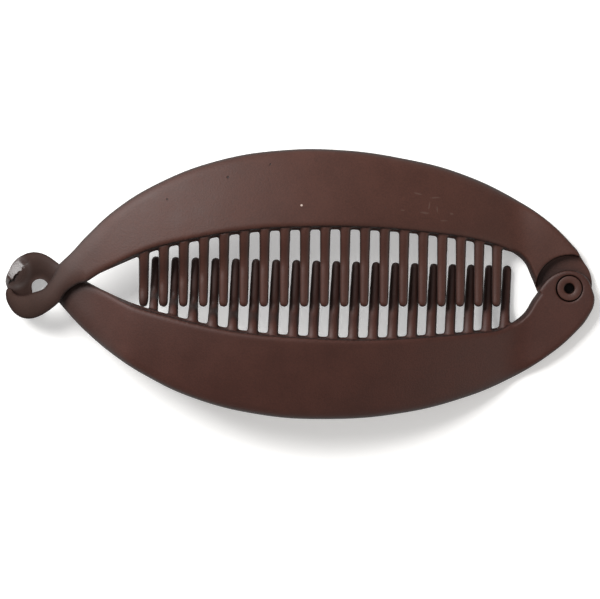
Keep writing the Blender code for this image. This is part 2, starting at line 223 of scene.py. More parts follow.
LOWER_TAIL = [
    (-56.8, -1.4), (-57.8, 0.2), (-58.7, 1.15), (-59.8, 1.4), (-60.9, 1.0), (-61.6, 0.0), (-61.4, -1.3),
    (-61.6, -3.0), (-63.4, -4.4), (-65.6, -3.9), (-67.1, -0.8), (-67.6, 1.0), (-66.8, 3.3), (-65.7, 5.2),
    (-63.6, 6.8), (-60.8, 7.5), (-58.1, 6.7), (-54.9, 4.5), (-52.1, 2.9),
]
# Points where an outline has a corner.
SHARP_UPPER = [(54.5, -1.6), (-48.8, 0.76), (-55.1, 4.7), (-55.2, -3.9), (63.6, 8.1)]
SHARP_LOWER = [(54.5, -1.7), (-48.8, 0.76), (-55.2, -3.9)]


class ClipSizes(PropertyGroup):
    """Sizes of the finished mouldings, in metres."""

    tooth_root: FloatProperty(
        name="Tooth root", description="Half width of a tooth where it leaves its rail",
        default=0.00125, min=0.0005, max=0.002, unit="LENGTH",
    )
    tooth_end: FloatProperty(
        name="Tooth end", description="Half width of a tooth just before its rounded tip",
        default=0.00106, min=0.0005, max=0.002, unit="LENGTH",
    )
    upper_rail: FloatProperty(
        name="Upper rail", description="How far the upper rail stands out from under its plate",
        default=0.0006, min=0.0, max=0.003, unit="LENGTH",
    )
    lower_rail: FloatProperty(
        name="Lower rail", description="How far the lower rail stands out from under its plate",
        default=0.0005, min=0.0, max=0.003, unit="LENGTH",
    )
    grain: FloatProperty(
        name="Mesh grain", description="Edge length of the finished moulding's mesh",
        default=0.00025, min=0.0002, max=0.002, unit="LENGTH",
    )
    most_triangles: IntProperty(
        name="Most triangles", description="Triangles that one finished arm may have",
        default=188000, min=20000, max=198000,
    )
    rounding: IntProperty(
        name="Edge rounding", description="Rounds of relaxing that soften the moulding's edges",
        default=2, min=0, max=40,
    )
    edge_rounding: IntProperty(
        name="Outer edge rounding", description="More rounds along the outer edges, which carry no teeth",
        default=8, min=0, max=40,
    )
    tail_rounding: IntProperty(
        name="Tail rounding", description="More rounds that make the curled tails full and round",
        default=15, min=0, max=80,
    )
    roll_height: FloatProperty(
        name="Roll height", description="How far the face rolls over down its outer edges",
        default=0.0010, min=0.0, max=0.0011, unit="LENGTH",
    )
    roll_width: FloatProperty(
        name="Roll width", description="How wide the roll along the outer edges is",
        default=0.0022, min=0.0005, max=0.005, unit="LENGTH",
    )
    tail_swell: FloatProperty(
        name="Tail swell", description="How far the tail's sides are moved out before they are rounded",
        default=0.00015, min=0.0, max=0.001, unit="LENGTH",
    )
    lip: FloatProperty(
        name="Lip", description="Height of the jagged lip on the rear curl's rim",
        default=0.0001, min=-0.001, max=0.001, unit="LENGTH",
    )
    scoop: FloatProperty(
        name="Scoop", description="Depth of the hollow that runs down into the rear tail's hole",
        default=0.0014, min=0.0, max=0.002, unit="LENGTH",
    )


class ClipColours(PropertyGroup):
    """Colours of the plastics, as sRGB hex."""

    upper: StringProperty(name="Upper arm", description="Brown of the upper arm", default="3e1f15")
    lower: StringProperty(name="Lower arm", description="Brown of the lower arm", default="39190f")
    pin: StringProperty(name="Pin", description="Brown of the hinge pin", default="3e1f15")
    # This tail colour is painted shade: a darker, greyer brown over the tail end.
    tail_wear_and_shade: StringProperty(name="Worn tail", description="Dull brown of the handled tail", default="2a2522")
    dust: StringProperty(name="Dust", description="Pale dust caught in the surface", default="b9a79c")
    floor: StringProperty(name="Floor", description="White of the table", default="f4f3f1")


class StageSettings(PropertyGroup):
    """Lights and camera."""

    key_power: FloatProperty(
        name="Key power", description="Power of the large soft light at the upper left, in watts",
        default=16.2, min=0.0, soft_max=200.0, unit="POWER",
    )
    fill_power: FloatProperty(
        name="Fill power", description="Power of the weak warm light low at the right, in watts",
        default=2.5, min=0.0, soft_max=200.0, unit="POWER",
    )
    rim_power: FloatProperty(
        name="Rim power", description="Power of the light low at the upper left, in watts",
        default=6.5, min=0.0, soft_max=200.0, unit="POWER",
    )
    key_size: FloatProperty(
        name="Key size", description="Edge length of the large soft light",
        default=0.55, min=0.05, unit="LENGTH",
    )
    ambient: FloatProperty(
        name="Ambient", description="Strength of the even light from all round",
        default=0.36, min=0.0, soft_max=2.0,
    )
    table_glow: FloatProperty(
        name="Table glow", description="Light that comes up through the translucent white table",
        default=0.28, min=0.0, soft_max=2.0,
    )
    lens: FloatProperty(
        name="Lens", description="Focal length of the camera in millimetres",
        default=800.0, min=20.0, unit="CAMERA",
    )


def collection(name):
    """The named collection under the scene, made on first use."""
    found = bpy.data.collections.get(name)
    if found is None:
        found = bpy.data.collections.new(name)
        bpy.context.scene.collection.children.link(found)
    return found


def smooth(low, high, value):
    """Eases from 0 at low to 1 at high, for numbers or arrays."""
    share = np.clip((value - low) / (high - low), 0.0, 1.0)
    return share * share * (3.0 - 2.0 * share)


def crown(x):
    """Height of the face over the middle line, running out flat over the hinge."""
    arc = CROWN_TOP - CROWN_RADIUS + np.sqrt(CROWN_RADIUS ** 2 - (x - CROWN_X) ** 2)
    blended = 0.5 * (arc + LUG_TOP + np.hypot(arc - LUG_TOP, 1.5))
    return arc + (blended - arc) * smooth(*CROWN_FLATTENS, x)


def face(x, y):
    """Height of the upper arm's face."""
    return crown(x) - EDGE_FALL * y * y * (1.0 - 0.7 * smooth(*SIDES_FLATTEN, x))


def underside(height, tail, x):
    """Height of an underside below a face, down to the tail's thickness and to the table at the hinge."""
    thick = PLATE + (tail - PLATE) * (1.0 - smooth(*TAIL_THICKENS, x))
    return (height - thick) * (1.0 - smooth(*BACK_CLOSES, x))


def upper_back(x, y):
    """Height of the upper arm's underside."""
    return underside(face(x, y), TAIL, x)


def lower_face(x, y):
    """Height of the lower arm's face, which dips to pass behind the other tail."""
    return face(x, y) - (TAIL + TAIL_GAP) * (1.0 - smooth(*TAIL_SINKS, x))


def lower_back(x, y):
    """Height of the lower arm's underside."""
    return underside(lower_face(x, y), BACK_TAIL, x)


def layer(x, y):
    """Height of the lower teeth, by the distance from the pin, so that turning never changes it."""
    along = PIN_X - math.hypot(x - PIN_X, y - PIN_Y)
    return LAYER_TOP - LAYER_RADIUS + math.sqrt(LAYER_RADIUS ** 2 - (along - LAYER_X) ** 2)


def inner_y(points, x):
    """Reads an inner edge at x."""
    xs, ys = zip(*sorted(points))
    return float(np.interp(x, xs, ys))


def rail_share(x):
    """How far the rail has grown out of the plate at x, from 0 at its ends to 1."""
    return smooth(RAIL_LEFT, RAIL_LEFT + 7.0, x) * (1.0 - smooth(RAIL_RIGHT - 2.7, RAIL_RIGHT, x))


def evaluated(obj):
    """A new mesh with the object's modifiers and place applied."""
    bpy.context.view_layer.update()
    mesh = bpy.data.meshes.new_from_object(obj.evaluated_get(bpy.context.evaluated_depsgraph_get()))
    mesh.transform(obj.matrix_world)
    mesh.materials.clear()
    return mesh


def renew(obj, mesh):
    """Gives an object a new mesh and removes its old one."""
    old = obj.data
    obj.data = mesh
    bpy.data.meshes.remove(old)


def put(name, mesh):
    """An object for a mesh, in the clip's collection."""
    obj = bpy.data.objects.new(name, mesh)
    collection("banana_clip").objects.link(obj)
    return obj


def drop(*objs):
    """Removes helpers that have done their work."""
    for obj in objs:
        data = obj.data
        bpy.data.objects.remove(obj, do_unlink=True)
        if isinstance(data, bpy.types.Mesh) and data.users == 0:
            bpy.data.meshes.remove(data)


def welded(curve, name):
    """The mesh of a curve object, welded and facing out, in place of the curve."""
    mesh = evaluated(curve)
    drop(curve)
    work = bmesh.new()
    work.from_mesh(mesh)
    bmesh.ops.remove_doubles(work, verts=work.verts, dist=1e-6)
    bmesh.ops.recalc_face_normals(work, faces=work.faces)
    work.to_mesh(mesh)
    work.free()
    return put(name, mesh)


def prism(name, points, sharp):
    """A closed outline, rounded between its points, as a tall block to cut a plate with."""
    curve = bpy.data.curves.new(name, "CURVE")
    curve.dimensions = "2D"
    curve.fill_mode = "BOTH"
    curve.extrude = 0.5 * (BLOCK_TOP - BLOCK_LOW) * MM
    curve.resolution_u = 14
    spline = curve.splines.new("BEZIER")
    spline.bezier_points.add(len(points) - 1)
    spline.use_cyclic_u = True
    for knot, (x, y) in zip(spline.bezier_points, points):
        knot.co = (x * MM, y * MM, 0.0)
        kind = "VECTOR" if (x, y) in sharp else "AUTO"
        knot.handle_left_type = kind
        knot.handle_right_type = kind
    obj = bpy.data.objects.new(name, curve)
    obj.location.z = 0.5 * (BLOCK_TOP + BLOCK_LOW) * MM
    collection("banana_clip").objects.link(obj)
    return welded(obj, name)


def slab(name, top, bottom):
    """A curved plate over the whole clip between two heights, given as functions of x and y."""
    half_length, half_width = 70, 34
    sheet = bmesh.new()
    bmesh.ops.create_grid(sheet, x_segments=2 * half_length, y_segments=2 * half_width, size=1.0)
    made = bmesh.ops.extrude_face_region(sheet, geom=sheet.faces[:])
    lower = {item for item in made["geom"] if isinstance(item, bmesh.types.BMVert)}
    for vert in sheet.verts:
        x, y = vert.co.x * half_length, vert.co.y * half_width
        height = bottom if vert in lower else top
        vert.co = Vector((x, y, float(height(x, y)))) * MM
    bmesh.ops.recalc_face_normals(sheet, faces=sheet.faces)
    mesh = bpy.data.meshes.new(name)
    sheet.to_mesh(mesh)
    sheet.free()
    return put(name, mesh)


def cylinder(name, bottom, top, radius):
    """A round cutter around the pin's axis."""
    body = bmesh.new()
    bmesh.ops.create_cone(
        body, cap_ends=True, segments=128,
        radius1=radius * MM, radius2=radius * MM, depth=(top - bottom) * MM,
    )
    bmesh.ops.translate(body, verts=body.verts, vec=Vector((PIN_X, PIN_Y, 0.5 * (top + bottom))) * MM)
    mesh = bpy.data.meshes.new(name)
    body.to_mesh(mesh)
    body.free()
    return put(name, mesh)


def combine(target, other, operation):
    """Applies one Boolean with a helper, which is used up."""
    step = target.modifiers.new("cut", "BOOLEAN")
    step.operation = operation
    step.solver = "EXACT"
    step.object = other
    mesh = evaluated(target)
    target.modifiers.remove(step)
    renew(target, mesh)
    drop(other)


def tooth(name, path, widest):
    """One tooth as a tapering tube along its path, flattened in depth."""
    curve = bpy.data.curves.new(name, "CURVE")
    curve.dimensions = "3D"
    curve.bevel_depth = widest * MM
    curve.bevel_resolution = 6
    curve.use_fill_caps = True
    curve.resolution_u = 10
    spline = curve.splines.new("BEZIER")
    spline.bezier_points.add(len(path) - 1)
    for knot, (x, y, z, width) in zip(spline.bezier_points, path):
        knot.co = (x * MM, y * MM, z * MM / TOOTH_FLATNESS)
        knot.radius = width / widest
        knot.handle_left_type = "AUTO"
        knot.handle_right_type = "AUTO"
    obj = bpy.data.objects.new(name, curve)
    obj.scale.z = TOOTH_FLATNESS
    collection("banana_clip").objects.link(obj)
    return welded(obj, name)


def tooth_path(x, lean, y_root, y_tip, lift, root, end):
    """The points of one tooth from inside its rail to its rounded tip."""
    inward = 1.0 if y_tip > y_root else -1.0
    base = float(face(x, y_root)) - ROOT_SINK
    low_y = y_root - UPPER_RUN
    slim = 0.5
    if inward > 0.0:
        # A lower tooth. Those further left start deeper and slimmer, as they have less room.
        low_y = max(min(y_root + LOWER_RUN_MOST, LOWER_RUN_END), y_root + LOWER_RUN_LEAST)
        base -= LEFT_ROOT_DROP * (1.0 - smooth(*TEETH_START_DEEP, x))
        root *= 0.86 + 0.14 * smooth(*TEETH_START_SLIM, x)
        slim = smooth(-11.5, -8.0, y_root)
    low = root + (end - root) * slim
    path = []
    marks = [
        (y_root - inward * ROOT_INSIDE, ROOT_SWELL * root, "root"),
        (y_root + inward * ROOT_OUTSIDE, root, "root"),
        (low_y, low, "layer"),
        (low_y + inward * STRAIGHT, low, "layer"),
        (y_tip - inward * TIP_LENGTH, end, "layer"),
        (y_tip - inward * 0.30, 0.80 * end, "layer"),
        (y_tip, 0.30 * end, "layer"),
    ]
    for y, width, where in marks:
        across = x + lean * (y - TOOTH_PLACE_Y)
        height = base if where == "root" else layer(across, y) + lift
        path.append((across, y, height, width))
    step = 0.12 * (base - path[2][2])
    path[1] = (path[1][0], path[1][1], path[1][2] - step, path[1][3])
    return path


def comb(name, inner, first, lean, tips, lift):
    """All teeth of one arm, from the left tip's y to the right tip's."""
    sizes = bpy.context.scene.clip_sizes
    root, end = sizes.tooth_root / MM, sizes.tooth_end / MM
    made = []
    for index in range(TEETH):
        x = CROWN_X + CROWN_RADIUS * math.sin(math.radians(first + TOOTH_STEP * index))
        y_tip = tips[0] + (tips[1] - tips[0]) * index / (TEETH - 1)
        path = tooth_path(x, lean, inner_y(inner, x), y_tip, lift, root, end)
        made.append(tooth(f"{name}_{index}", path, ROOT_SWELL * root))
    return made


def rail(name, inner, inward, top):
    """The strip under an inner edge that carries the teeth."""
    edge = [(x, y) for x, y in sorted(inner) if RAIL_LEFT <= x <= RAIL_RIGHT]
    back = [(x, y - inward * RAIL_REACH) for x, y in reversed(edge)]

    def rail_top(x, y):
        return top(x, y) - RAIL_HIDDEN - (RAIL_SINK - RAIL_HIDDEN) * rail_share(x)

    def rail_bottom(x, y):
        inside = PLATE - RAIL_HIDDEN
        return top(x, y) - inside - (RAIL_SINK + RAIL - inside) * rail_share(x)

    strip = slab(name, rail_top, rail_bottom)
    combine(strip, prism(f"{name}_strip", edge + back, [edge[0], edge[-1], back[0], back[-1]]), "INTERSECT")
    return strip


def fuse(name, pieces, grain):
    """One closed skin around several overlapping closed pieces, with an even mesh."""
    whole = bmesh.new()
    for piece in pieces:
        whole.from_mesh(piece.data)
    mesh = bpy.data.meshes.new(name)
    whole.to_mesh(mesh)
    whole.free()
    drop(*pieces)
    skin = put(name, mesh)
    step = skin.modifiers.new("skin", "REMESH")
    step.mode = "VOXEL"
    step.voxel_size = grain
    step.adaptivity = 0.0
    made = evaluated(skin)
    skin.modifiers.remove(step)
    renew(skin, made)
    return skin


def points_of(mesh):
    """The mesh's points as an array, in metres."""
    flat = np.empty(len(mesh.vertices) * 3)
    mesh.vertices.foreach_get("co", flat)
    return flat.reshape(-1, 3)


def normals_of(mesh):
    """The mesh's normals at its points, as an array."""
    flat = np.empty(len(mesh.vertices) * 3)
    mesh.vertex_normals.foreach_get("vector", flat)
    return flat.reshape(-1, 3)


def set_points(mesh, points):
    """Moves the mesh's points to those of an array."""
    mesh.vertices.foreach_set("co", points.ravel())
    mesh.update()


def relax(mesh, rounds, weight):
    """Moves each point towards the middle of its neighbours, by the weight that it has."""
    points = points_of(mesh)
    ends = np.empty(len(mesh.edges) * 2, dtype=np.int64)
    mesh.edges.foreach_get("vertices", ends)
    ends = ends.reshape(-1, 2)
    count = len(points)
    near = np.bincount(ends.ravel(), minlength=count)[:, None]
    for _ in range(rounds):
        total = np.empty_like(points)
        for axis in range(3):
            total[:, axis] = np.bincount(ends[:, 0], points[ends[:, 1], axis], count)
            total[:, axis] += np.bincount(ends[:, 1], points[ends[:, 0], axis], count)
        points += 0.5 * weight[:, None] * (total / near - points)
    set_points(mesh, points)


def walls_of(block):
    """The sides of an outline's block, to measure distances from."""
    points = [vert.co.copy() for vert in block.data.vertices]
    return BVHTree.FromPolygons(points, [side.vertices[:] for side in block.data.polygons])


def roll_edges(mesh, walls, top, bottom):
    """Rolls the face over its edges, and slopes it down to the last gap, beside the hinge.

    The roll is wide outside and along the curl, and tighter along the teeth and round the lug.
    """
    sizes = bpy.context.scene.clip_sizes
    points = points_of(mesh)
    level = 0.5 * (BLOCK_LOW + BLOCK_TOP) * MM
    hits = [walls.find_nearest(Vector((px, py, level))) for px, py in points[:, :2]]
    away = np.array([hit[3] for hit in hits])
    wall_x = np.array([hit[0].x for hit in hits]) / MM
    wall_y = np.array([hit[0].y for hit in hits]) / MM
    outer = np.interp(wall_x, *zip(*UPPER_OUTER))
    inner = (wall_x > INNER_LEFT) & (wall_x < INNER_RIGHT) & (np.abs(wall_y) < 0.6 * outer)
    lug = np.where(inner, 0.0, smooth(*LUG_BEGINS, wall_x))
    curl = 1.0 - smooth(*CURL_ROLLS, wall_x)
    height = sizes.roll_height * np.where(inner, 0.85, 1.0) * (1.0 - 0.65 * lug) * (1.0 + 0.1 * curl)
    width = sizes.roll_width * np.where(inner, 0.62, 1.0) * (1.0 - 0.6 * lug) * (1.0 + 0.6 * curl)
    x, y, z = (points / MM).T
    high, low = top(x, y), bottom(x, y)
    middle = 0.5 * (high + low)
    share = smooth(0.0, 1.0, (z - middle) / (high - middle - 0.1))
    ledge = 1.0 - np.clip(away / width, 0.0, 1.0)
    slope = inner * smooth(*SLOPE_BEGINS, wall_x) * np.clip(1.0 - away / (SLOPE_WIDTH * MM), 0.0, 1.0)
    roll = height * (1.0 - np.sqrt(1.0 - ledge ** 2))
    points[:, 2] -= np.maximum(roll, SLOPE_DROP * MM * slope) * share
    set_points(mesh, points)


def ripple(mesh):
    """A barely visible unevenness of the moulding."""
    points = points_of(mesh)
    waves = [noise.noise(Vector(point) / (RIPPLE_SPAN * MM)) for point in points]
    points[:, 2] += RIPPLE * MM * np.array(waves)
    set_points(mesh, points)


def hollow_scoop(mesh, depth):
    """Presses the rear tail's face down towards its hole, leaving a raised rim around it."""
    points = points_of(mesh)
    x, y, z = (points / MM).T
    away = np.hypot(x - CURL_X, y - CURL_Y)
    top = smooth(*SCOOP_SKIN, z - lower_face(x, y))
    share = (1.0 - smooth(SCOOP_DEEP, SCOOP_RIM, away)) * (1.0 - smooth(*SCOOP_ENDS, x)) * top
    points[:, 2] -= depth * share
    set_points(mesh, points)


def refine_curl(mesh):
    """Halves the mesh's edges on the curled tail, so that it can carry finer marks."""
    work = bmesh.new()
    work.from_mesh(mesh)
    chosen = [edge for edge in work.edges if max(vert.co.x for vert in edge.verts) < CURL_FROM * MM]
    bmesh.ops.subdivide_edges(work, edges=chosen, cuts=1, use_grid_fill=True, smooth=0.0)
    bmesh.ops.triangulate(work, faces=[face for face in work.faces if len(face.verts) > 4])
    work.to_mesh(mesh)
    work.free()


def jagged_lip(mesh, height):
    """Sets a sloping facet, polished by wear, on the rear curl's rim, which breaks off in a jagged line at
    the scoop.
    """
    points = points_of(mesh)
    x, y, z = (points / MM).T
    along = (x - LIP_X) * LIP_ALONG[0] + (y - LIP_Y) * LIP_ALONG[1]
    out = (x - LIP_X) * LIP_ALONG[1] - (y - LIP_Y) * LIP_ALONG[0]
    out += 0.30 * np.array([noise.noise(Vector((1.3 * t, 4.2, 0.0))) for t in along])
    out += 0.16 * np.array([noise.noise(Vector((3.9 * t, 9.6, 0.0))) for t in along])
    fade = smooth(-1.6, 1.2, along) * (1.0 - smooth(LIP_LENGTH - 1.0, LIP_LENGTH + 0.8, along))
    up = smooth(0.10, 0.45, normals_of(mesh)[:, 2])
    up *= smooth(-1.9, -1.5, z - lower_face(x, y)) * (x < CURL_FROM)
    off_x, off_y = x - FACET_X, y - FACET_Y
    facet = lower_face(FACET_X, FACET_Y) + height / MM + FACET_TILT_X * off_x + FACET_TILT_Y * off_y
    facet -= FACET_CURVE * (off_x ** 2 + off_y ** 2)
    share = fade * up * smooth(-0.16, 0.04, out)
    points[:, 2] += share * (facet - z) * MM
    set_points(mesh, points)


def soften(arm):
    """Rounds every edge a little and the curled tail a lot, swelling the tail first by what that takes."""
    sizes = bpy.context.scene.clip_sizes
    mesh = arm.data
    points = points_of(mesh)
    relax(mesh, sizes.rounding, np.ones(len(points)))
    outer = np.interp(points[:, 0] / MM, *zip(*UPPER_OUTER))
    relax(mesh, sizes.edge_rounding, smooth(*EDGE_BAND, np.abs(points[:, 1] / MM) / outer))
    tail = 1.0 - smooth(*CURL_ROUNDS, points[:, 0] / MM)
    points = points_of(mesh)
    outside = smooth(*TAIL_OUTSIDE, np.hypot(points[:, 0] / MM - CURL_X, points[:, 1] / MM - CURL_Y))
    points[:, :2] += sizes.tail_swell * (tail * outside)[:, None] * normals_of(mesh)[:, :2]
    set_points(mesh, points)
    relax(mesh, sizes.tail_rounding, tail)


def thin_out(arm, most):
    """Collapses the mesh where it is flattest until no more triangles than that are left."""
    count = sum(len(face.vertices) - 2 for face in arm.data.polygons)
    step = arm.modifiers.new("thin", "DECIMATE")
    step.ratio = min(1.0, most / count)
    made = evaluated(arm)
    arm.modifiers.remove(step)
    renew(arm, made)


def shade_smooth(obj):
    """Smooth shading all over."""
    obj.data.polygons.foreach_set("use_smooth", [True] * len(obj.data.polygons))
    obj.data.update()


def hex_colour(code):
    """Linear RGBA from an sRGB hex code."""
    channels = [int(code[i:i + 2], 16) / 255.0 for i in (0, 2, 4)]
    linear = [c / 12.92 if c <= 0.04045 else ((c + 0.055) / 1.055) ** 2.4 for c in channels]
    return (*linear, 1.0)


def tone(base, factor, lift=0.0):
    """A paler or deeper tone of a linear colour, as RGBA."""
    return tuple(channel * factor + lift for channel in base) + (1.0,)


def add_node(tree, kind, settings=None, **inputs):
    """Adds a node, sets its properties, and sets or links its inputs by name, or as i0, i1 by number."""
    made = tree.nodes.new(kind)
    for name, value in (settings or {}).items():
        setattr(made, name, value)
    for name, value in inputs.items():
        numbered = name[0] == "i" and name[1:].isdigit()
        socket = made.inputs[int(name[1:]) if numbered else name.replace("_", " ")]
        if isinstance(value, bpy.types.NodeSocket):
            tree.links.new(value, socket)
        else:
            socket.default_value = value
    return made


def mark_mask(tree, place, jitter, marks):
    """One mask over all the marks in a list, each an ellipse with a ragged edge."""
    mask = 0.0
    for x, y, half_length, half_width, turn in marks:
        inside = add_node(
            tree, "ShaderNodeMapping", {"vector_type": "TEXTURE"}, Vector=place,
            Location=(x * MM, y * MM, 0.0),
            Rotation=(0.0, 0.0, math.radians(turn)),
            Scale=(half_length * MM, half_width * MM, 1.0),
        )
        reach = add_node(tree, "ShaderNodeVectorMath", {"operation": "LENGTH"}, i0=inside.outputs["Vector"])
        ragged = add_node(
            tree, "ShaderNodeMath", {"operation": "ADD"}, i0=reach.outputs["Value"], i1=jitter,
        )
        spot = add_node(
            tree, "ShaderNodeMapRange", Value=ragged.outputs[0],
            From_Min=0.7, From_Max=1.2, To_Min=1.0, To_Max=0.0,
        )
        wider = add_node(tree, "ShaderNodeMath", {"operation": "MAXIMUM"}, i0=mask, i1=spot.outputs[0])
        mask = wider.outputs[0]
    return mask


def soft_touch_plastic(name, colour, shaded_worn=True, polished=False, marked=False):
    """Injection-moulded ABS with a soft-touch coat, which looks matt, finely grained and mottled.

    The tail can get wear and painted shade; polished adds the shine of the facet, and marked adds the small
    marks.
    """
    colours = bpy.context.scene.clip_colours
    made = bpy.data.materials.new(name)
    made.use_nodes = True
    tree = made.node_tree
    shader = tree.nodes["Principled BSDF"]
    spots = add_node(tree, "ShaderNodeTexCoord").outputs
    place = spots["Object"]
    base = hex_colour(colour)[:3]
    pale, deep, dark = tone(base, 1.14, 0.001), tone(base, 0.88), tone(base, 0.25)
    rubbed = tone(base, 1.7, 0.006)

    # The coat took unevenly, so it is mottled in patches 9 mm wide. A matt coat's grain is under 0.1 mm,
    # too fine to show, so it is drawn 0.4 mm wide.
    mottle = add_node(
        tree, "ShaderNodeTexNoise", Vector=place, Scale=1.0 / (MOTTLE_SPAN * MM), Detail=4.0, Roughness=0.65,
    )
    grain = add_node(
        tree, "ShaderNodeTexNoise", Vector=place, Scale=1.0 / (GRAIN_SPAN * MM), Detail=2.0, Roughness=0.6,
    )
    spread = add_node(tree, "ShaderNodeMapRange", Value=mottle.outputs["Fac"], From_Min=0.3, From_Max=0.7)
    grainy = add_node(
        tree, "ShaderNodeMath", {"operation": "MULTIPLY_ADD"}, i0=grain.outputs["Fac"], i1=2.4, i2=-1.2,
    )
    uneven = add_node(
        tree, "ShaderNodeMath", {"operation": "ADD"}, i0=spread.outputs[0], i1=grainy.outputs[0],
    )
    layers = [(pale, uneven.outputs[0])]
    if shaded_worn:
        # Painted shade: the tail end is painted darker and greyer.
        along = add_node(tree, "ShaderNodeSeparateXYZ", Vector=place).outputs["X"]
        painted_tail_shade = add_node(
            tree, "ShaderNodeMapRange", {"interpolation_type": "SMOOTHSTEP"}, Value=along,
            From_Min=-0.062, From_Max=-0.040, To_Min=0.65, To_Max=0.0,
        )
        layers.append((hex_colour(colours.tail_wear_and_shade), painted_tail_shade.outputs["Result"]))

    # Pits 0.3 mm wide, one in some of the cells, and the marks that the upper arm has.
    cells = add_node(
        tree, "ShaderNodeTexVoronoi", Vector=place, Scale=1.0 / (PIT_SPAN * MM), Randomness=1.0,
    )
    near = add_node(
        tree, "ShaderNodeMapRange", Value=cells.outputs["Distance"],
        From_Min=0.018, From_Max=0.032, To_Min=1.0, To_Max=0.0,
    )
    parts = add_node(tree, "ShaderNodeSeparateColor", Color=cells.outputs["Color"])
    some = add_node(tree, "ShaderNodeMath", {"operation": "LESS_THAN"}, i0=parts.outputs["Red"], i1=0.22)
    pits = add_node(
        tree, "ShaderNodeMath", {"operation": "MULTIPLY"}, i0=near.outputs[0], i1=some.outputs[0],
    )
    if marked:
        jitter = add_node(
            tree, "ShaderNodeMath", {"operation": "MULTIPLY_ADD"}, i0=grain.outputs["Fac"], i1=1.6, i2=-0.8,
        ).outputs[0]
        known = mark_mask(tree, place, jitter, PITS)
        pits = add_node(tree, "ShaderNodeMath", {"operation": "MAXIMUM"}, i0=pits.outputs[0], i1=known)
        scuffed = mark_mask(tree, place, jitter, SCUFFS)
        scuffs = add_node(tree, "ShaderNodeMath", {"operation": "MULTIPLY"}, i0=scuffed, i1=0.05)
        layers.append((hex_colour(colours.dust), scuffs.outputs[0]))
        layers.append((hex_colour(colours.dust), mark_mask(tree, place, 0.0, FLECKS)))
    layers.append((dark, pits.outputs[0]))

    # Handling has rubbed the sharpest edges a little paler, and unevenly.
    edges = add_node(tree, "ShaderNodeNewGeometry").outputs["Pointiness"]
    sharp = add_node(
        tree, "ShaderNodeMapRange", Value=edges, From_Min=0.53, From_Max=0.62, To_Min=0.0, To_Max=0.25,
    )
    patchy = add_node(
        tree, "ShaderNodeMath", {"operation": "MULTIPLY"}, i0=sharp.outputs[0], i1=mottle.outputs["Fac"],
    )
    layers.append((rubbed, patchy.outputs[0]))

    # Painted shade: the steeper a surface, the darker it is painted, down the flanks.
    upright = add_node(tree, "ShaderNodeSeparateXYZ", Vector=spots["Normal"]).outputs["Z"]
    painted_flank_shade = add_node(
        tree, "ShaderNodeMapRange", {"interpolation_type": "SMOOTHSTEP"}, Value=upright,
        From_Min=0.40, From_Max=0.89, To_Min=0.95, To_Max=0.0,
    )
    layers.append((dark, painted_flank_shade.outputs["Result"]))

    # Grime and shade gather where the moulding closes in on itself, within 6 mm.
    open_share = add_node(tree, "ShaderNodeAmbientOcclusion", {"samples": 8}, Distance=0.006).outputs["AO"]
    closed = add_node(
        tree, "ShaderNodeMapRange", Value=open_share,
        From_Min=0.30, From_Max=0.88, To_Min=0.85, To_Max=0.0,
    )
    layers.append((dark, closed.outputs["Result"]))

    # Each layer's colour lies over those before it, by its mask.
    shade = deep
    for over, mask in layers:
        mixed = add_node(tree, "ShaderNodeMix", {"data_type": "RGBA"}, Factor=mask, i6=shade, i7=over)
        shade = mixed.outputs[2]
    tree.links.new(shade, shader.inputs["Base Color"])

    # The grain and the pits as height.
    bump = add_node(tree, "ShaderNodeBump", Strength=0.6, Distance=0.00006, Height=grain.outputs["Fac"])
    dent = add_node(
        tree, "ShaderNodeBump", {"invert": True}, Strength=0.7, Distance=0.00012, Height=pits.outputs[0],
        Normal=bump.outputs["Normal"],
    )
    tree.links.new(dent.outputs["Normal"], shader.inputs["Normal"])

    # The sheen varies with the mottling. A polyurethane coat's IOR is about 1.5, and is set lower to
    # match the photograph's dull shine.
    shader.inputs["IOR"].default_value = 1.41
    rough = add_node(
        tree, "ShaderNodeMapRange", Value=mottle.outputs["Fac"],
        From_Min=0.3, From_Max=0.7, To_Min=0.53, To_Max=0.61,
    ).outputs[0]
    if shaded_worn:
        # The tail has gone dull, but for the facet, which handling has polished.
        tail_wear_and_shade = add_node(
            tree, "ShaderNodeMapRange", {"interpolation_type": "SMOOTHSTEP"}, Value=along,
            From_Min=-0.062, From_Max=-0.050, To_Min=-0.22, To_Max=0.0,
        ).outputs["Result"]
        if polished:
            flat = add_node(
                tree, "ShaderNodeVectorMath", {"operation": "MULTIPLY"}, i0=place, i1=(1.0, 1.0, 0.0),
            )
            reach = add_node(
                tree, "ShaderNodeVectorMath", {"operation": "DISTANCE"}, i0=flat.outputs["Vector"],
                i1=(FACET_X * MM, FACET_Y * MM, 0.0),
            )
            facet = add_node(
                tree, "ShaderNodeMapRange", {"interpolation_type": "SMOOTHSTEP"},
                Value=reach.outputs["Value"], From_Min=0.0022, From_Max=0.0048, To_Min=0.54, To_Max=0.0,
            )
            tail_wear_and_shade = add_node(
                tree, "ShaderNodeMath", {"operation": "ADD"}, i0=tail_wear_and_shade, i1=facet.outputs["Result"],
            ).outputs[0]
        sheen = add_node(tree, "ShaderNodeMath", {"operation": "MULTIPLY_ADD"}, i0=tail_wear_and_shade, i1=1.5, i2=0.5)
        capped = add_node(tree, "ShaderNodeMath", {"operation": "MINIMUM"}, i0=sheen.outputs[0], i1=0.5)
        tree.links.new(capped.outputs[0], shader.inputs["Specular IOR Level"])
        rough = add_node(tree, "ShaderNodeMath", {"operation": "SUBTRACT"}, i0=rough, i1=tail_wear_and_shade).outputs[0]
    tree.links.new(rough, shader.inputs["Roughness"])
    return made


def dress(piece, material, body, node):
    """Gives a piece its material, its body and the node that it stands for."""
    piece.data.materials.clear()
    piece.data.materials.append(material)
    shade_smooth(piece)
    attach(piece, body)
    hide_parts(node)


def set_back(inner, inward, shows):
    """The plate's own inner edge, which stands back from the rail's."""
    return [(x, y - inward * shows * float(rail_share(x))) for x, y in inner]


